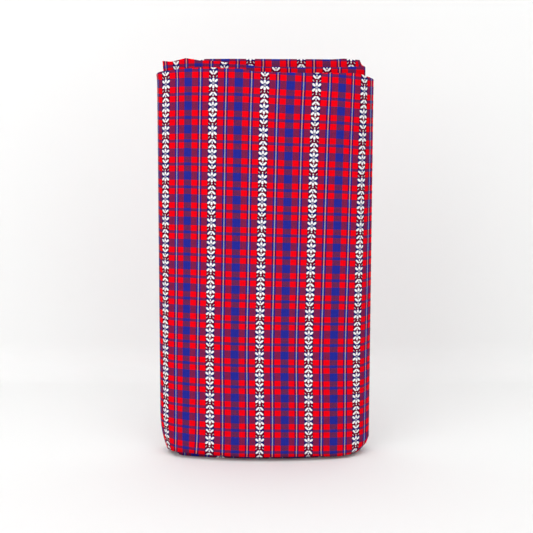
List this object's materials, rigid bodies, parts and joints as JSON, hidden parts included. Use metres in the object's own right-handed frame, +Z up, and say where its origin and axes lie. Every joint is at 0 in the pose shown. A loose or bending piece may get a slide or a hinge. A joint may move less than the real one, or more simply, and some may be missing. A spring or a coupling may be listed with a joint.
{
  "type": "folded plaid fabric",
  "caption": "Length of woven plaid cotton with small flower stripes, folded back and forth and wound flat into an upright bundle with stepped upper edges.",
  "frame": {"origin": "centre of the bounding box at its base, on the surface that the bundle stands on", "axes": "+Z up the bundle, parallel to the warp stripes; -Y towards the front panel; +X to the front panel's right as it is looked at"},
  "size_m": [0.2208, 0.0576, 0.4068],
  "materials": {
    "plaid_cotton": "matte woven cotton, red and blue plaid with white flower stripes"
  },
  "bodies": {
    "root": {"folded_cloth": "plaid_cotton"}
  },
  "joints": []
}
